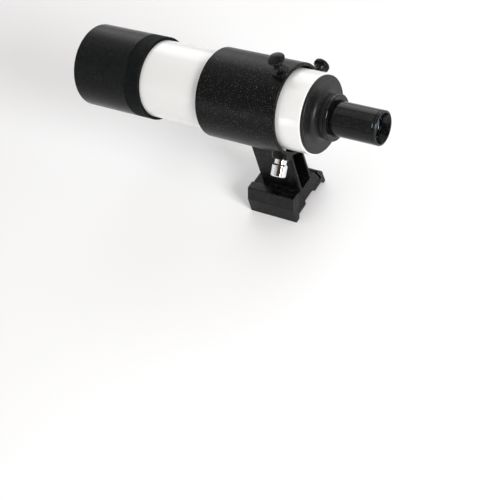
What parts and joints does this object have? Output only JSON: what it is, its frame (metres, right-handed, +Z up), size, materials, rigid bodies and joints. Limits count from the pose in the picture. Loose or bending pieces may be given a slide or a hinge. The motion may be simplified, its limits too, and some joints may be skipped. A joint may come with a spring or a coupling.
{
  "type": "finder scope",
  "caption": "Small straight-through aiming telescope in a cast ring bracket with alignment thumbscrews and a spring plunger, on a dovetail foot held in a clamp shoe.",
  "frame": {"origin": "centre of the underside of the shoe's floor, between its two bolt holes", "axes": "+Y along the optical axis towards the sky, +Z up out of the shoe, +X to the clamp-screw side"},
  "size_m": [0.0853, 0.244, 0.1459],
  "materials": {
    "shoe_black": "satin black paint on an extruded aluminium shoe",
    "bracket_black": "fine-textured black powder coat on a casting",
    "knob_black": "moulded black plastic",
    "screw_steel": "blackened steel thread",
    "plated_chrome": "bright nickel-chrome plating",
    "pin_nylon": "natural nylon",
    "spring_steel": "spring steel wire",
    "seat_rubber": "soft black rubber",
    "tube_white": "gloss white paint",
    "ring_black": "matt black anodised, fine-knurled aluminium",
    "cell_black": "satin black anodised aluminium",
    "plate_black": "semi-gloss black paint",
    "eyepiece_black": "gloss black paint",
    "inner_black": "flat black, anti-reflection",
    "lens_glass": "coated optical glass"
  },
  "bodies": {
    "shoe": {"dovetail_shoe": "shoe_black"},
    "clamp_rod": {"clamp_screw_rod": "screw_steel"},
    "clamp_knob": {"clamp_screw_knob": "knob_black"},
    "bracket": {"bracket_body": "bracket_black", "plunger_housing": "plated_chrome"},
    "top_rod": {"align_rod_top": "screw_steel"},
    "top_knob": {"align_knob_top": "knob_black"},
    "side_rod": {"align_rod_side": "screw_steel"},
    "side_knob": {"align_knob_side": "knob_black"},
    "spring": {"plunger_spring": "spring_steel"},
    "pin": {"plunger_pin": "pin_nylon"},
    "seat": {"seat_o_ring": "seat_rubber"},
    "tube": {"main_tube": "tube_white", "focus_thread_collar": "inner_black", "rear_end_plate": "plate_black", "eyepiece_lock_ring": "plate_black", "eyepiece_barrel": "eyepiece_black", "eyepiece_end_ring": "eyepiece_black", "eye_lens_crown": "lens_glass", "eye_lens_flint": "lens_glass", "eyepiece_spacer": "inner_black", "field_lens": "lens_glass", "field_stop_ring": "inner_black", "crosshair": "spring_steel"},
    "lock_ring": {"focus_lock_ring": "ring_black"},
    "objective": {"flint_lens": "lens_glass", "lens_spacer_ring": "inner_black", "crown_lens": "lens_glass"},
    "cell": {"objective_cell": "cell_black", "objective_retaining_ring": "inner_black"}
  },
  "joints": [
    {"name": "bracket_slide", "type": "slide", "parent": "shoe", "child": "bracket", "axis": [0, 1, 0], "range_m": [-0.042, 0]},
    {"name": "clamp_travel", "type": "slide", "parent": "shoe", "child": "clamp_rod", "axis": [1, 0, 0], "range_m": [0, 0.0021]},
    {"name": "clamp_turn", "type": "hinge", "parent": "clamp_rod", "child": "clamp_knob", "pos_m": [0.03, 0.011, 0.0068], "axis": [1, 0, 0], "range_deg": [0, 1082]},
    {"name": "tube_pitch", "type": "hinge", "parent": "bracket", "child": "seat", "pos_m": [0, 0.027, 0.0949], "axis": [1, 0, 0], "range_deg": [-0.9, 0.9]},
    {"name": "tube_yaw", "type": "hinge", "parent": "seat", "child": "tube", "pos_m": [0, 0.027, 0.0949], "axis": [0, 0, 1], "range_deg": [-0.9, 0.9]},
    {"name": "top_screw_travel", "type": "slide", "parent": "bracket", "child": "top_rod", "axis": [0, 0, 1], "range_m": [-0.00088, 0.00088]},
    {"name": "top_screw_turn", "type": "hinge", "parent": "top_rod", "child": "top_knob", "pos_m": [0, -0.0277, 0.1349], "axis": [0, 0, 1], "range_deg": [-450.7, 450.7]},
    {"name": "side_screw_travel", "type": "slide", "parent": "bracket", "child": "side_rod", "axis": [1, 0, 0], "range_m": [-0.00088, 0.00088]},
    {"name": "side_screw_turn", "type": "hinge", "parent": "side_rod", "child": "side_knob", "pos_m": [0.04, -0.0277, 0.0949], "axis": [1, 0, 0], "range_deg": [-450.7, 450.7]},
    {"name": "plunger_with_pitch", "type": "slide", "parent": "bracket", "child": "spring", "axis": [-0.7071, 0, -0.7071], "range_m": [-0.00062, 0.00062], "deforming": ["plunger_spring"]},
    {"name": "plunger_with_yaw", "type": "slide", "parent": "spring", "child": "pin", "axis": [-0.7071, 0, -0.7071], "range_m": [-0.00062, 0.00062]},
    {"name": "lock_ring_turn", "type": "hinge", "parent": "tube", "child": "lock_ring", "pos_m": [0, 0.09, 0.0949], "axis": [0, 1, 0], "range_deg": [-90, 0]},
    {"name": "focus_travel", "type": "slide", "parent": "tube", "child": "objective", "axis": [0, 1, 0], "range_m": [0, 0.003]},
    {"name": "focus_turn", "type": "hinge", "parent": "objective", "child": "cell", "pos_m": [0, 0.12, 0.0949], "axis": [0, 1, 0], "range_deg": [0, 1080]}
  ],
  "couplings": [
    {"joint": "clamp_turn", "follows": "clamp_travel", "rad_per_m": 8976},
    {"joint": "top_screw_travel", "follows": "tube_pitch", "m_per_rad": -0.0547},
    {"joint": "top_screw_turn", "follows": "tube_pitch", "ratio": -490.99},
    {"joint": "side_screw_travel", "follows": "tube_yaw", "m_per_rad": 0.0547},
    {"joint": "side_screw_turn", "follows": "tube_yaw", "ratio": 490.99},
    {"joint": "plunger_with_pitch", "follows": "tube_pitch", "m_per_rad": 0.038679},
    {"joint": "plunger_with_yaw", "follows": "tube_yaw", "m_per_rad": -0.038679},
    {"joint": "focus_travel", "follows": "focus_turn", "m_per_rad": 0.00015915}
  ]
}
